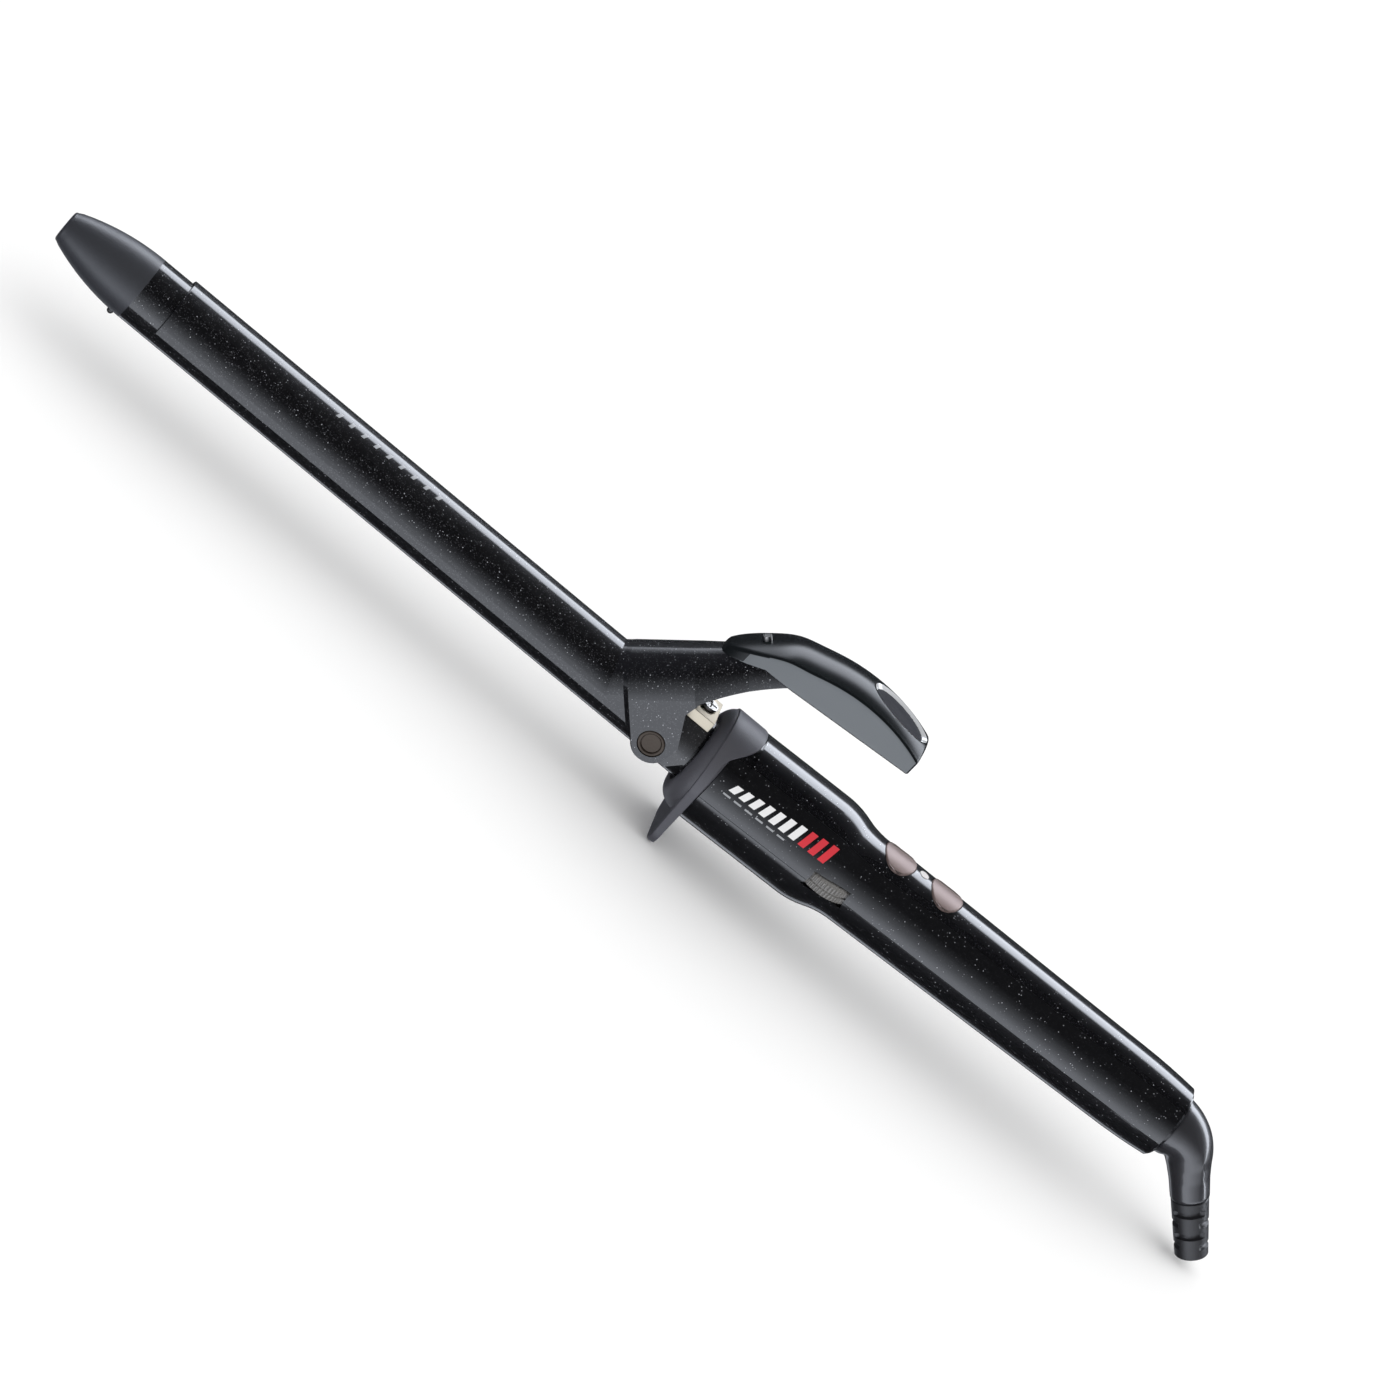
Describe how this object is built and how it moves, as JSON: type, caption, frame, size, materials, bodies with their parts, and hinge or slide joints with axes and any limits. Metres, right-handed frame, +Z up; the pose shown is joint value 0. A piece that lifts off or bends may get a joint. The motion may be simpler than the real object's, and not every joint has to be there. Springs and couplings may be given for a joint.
{
  "type": "curling iron",
  "caption": "Spring-clamp curling iron: round coated barrel with cool tip, hinged clamp with thumb lever, stand foot on a collar, push-button handle with thumb dial and swivelling cord elbow.",
  "frame": {"origin": "centre of the flat bottom of the stand foot", "axes": "+Z up, +X along the barrel from the cool tip towards the cord, -Y the side with the thumb dial"},
  "size_m": [0.4108, 0.0324, 0.073],
  "materials": {
    "cap_plastic": "matte, fine grained",
    "steel": "plain",
    "barrel_coating": "gloss ceramic coat with fine light flecks",
    "aluminium": "extruded",
    "ceramic": "ceramic, unglazed",
    "insulation": "pressed mica and heat-proof resin",
    "copper": "plain copper",
    "lead_sleeve": "glass-fibre sleeve",
    "saddle_steel": "dark satin",
    "pin_bronze": "dark bronze",
    "spring_steel": "satin",
    "clip_nickel": "nickel over brass",
    "clamp_coating": "gloss ceramic coat with fine light flecks",
    "lever_plastic": "high gloss",
    "pad_plastic": "matte",
    "collar_plastic": "matte, fine grained",
    "handle_plastic": "gloss with fine light flecks",
    "panel_plastic": "high gloss",
    "button_plastic": "satin bronze",
    "indicator": "frosted",
    "dial_plastic": "satin, knurled edge",
    "board": "solder mask",
    "component_black": "plain",
    "elbow_plastic": "satin",
    "boot_rubber": "matte"
  },
  "bodies": {
    "handle": {"cool_tip": "cap_plastic", "tip_pin": "steel", "barrel_tube": "barrel_coating", "tip_insulator": "insulation", "heat_spreader_upper": "aluminium", "heat_spreader_lower": "aluminium", "ptc_elements": "ceramic", "electrode_strips": "copper", "temperature_sensor": "component_black", "thermal_fuse": "steel", "heater_leads": "lead_sleeve", "base_insulator": "insulation", "hinge_saddle": "saddle_steel", "hinge_pins": "pin_bronze", "leaf_spring": "spring_steel", "spring_clip": "clip_nickel", "spring_screw": "steel", "collar": "collar_plastic", "handle_upper_shell": "handle_plastic", "handle_lower_shell": "handle_plastic", "control_panel": "panel_plastic", "tact_switches": "component_black", "status_light": "indicator", "circuit_board": "board", "relay": "component_black", "capacitor": "component_black", "dial_axle": "component_black", "dial_sensor": "component_black", "case_screws": "steel", "swivel_bush": "dial_plastic", "contact_brushes": "copper", "supply_leads": "lead_sleeve"},
    "clamp": {"clamp": "clamp_coating", "lever_screw": "steel", "thumb_lever": "lever_plastic", "thumb_pad": "pad_plastic"},
    "plus_button": {"button_plus": "button_plastic"},
    "minus_button": {"button_minus": "button_plastic"},
    "dial": {"temperature_dial": "dial_plastic"},
    "swivel": {"swivel_elbow": "elbow_plastic", "cord_boot": "boot_rubber", "slip_ring_core": "component_black", "slip_rings": "copper"}
  },
  "joints": [
    {"name": "clamp_hinge", "type": "hinge", "parent": "handle", "child": "clamp", "pos_m": [-0.01745, 0, 0.0235], "axis": [0, 1, 0], "range_deg": [0, 20], "stiffness_Nm_per_rad": 0.6, "springref_deg": -20.05, "deforming": ["leaf_spring"]},
    {"name": "plus_press", "type": "slide", "parent": "handle", "child": "plus_button", "axis": [0.0332, 0, -0.9995], "range_m": [0, 0.0006], "stiffness_N_per_m": 800},
    {"name": "minus_press", "type": "slide", "parent": "handle", "child": "minus_button", "axis": [0.0332, 0, -0.9995], "range_m": [0, 0.0006], "stiffness_N_per_m": 800},
    {"name": "dial_turn", "type": "hinge", "parent": "handle", "child": "dial", "pos_m": [0.04067, -0.0053, 0.02481], "axis": [-0.0332, 0, 0.9995], "range_deg": [-135, 135]},
    {"name": "cord_swivel", "type": "hinge", "parent": "handle", "child": "swivel", "pos_m": [0.15657, 0, 0.02976], "axis": [0.9995, 0, 0.0332], "continuous": true}
  ]
}
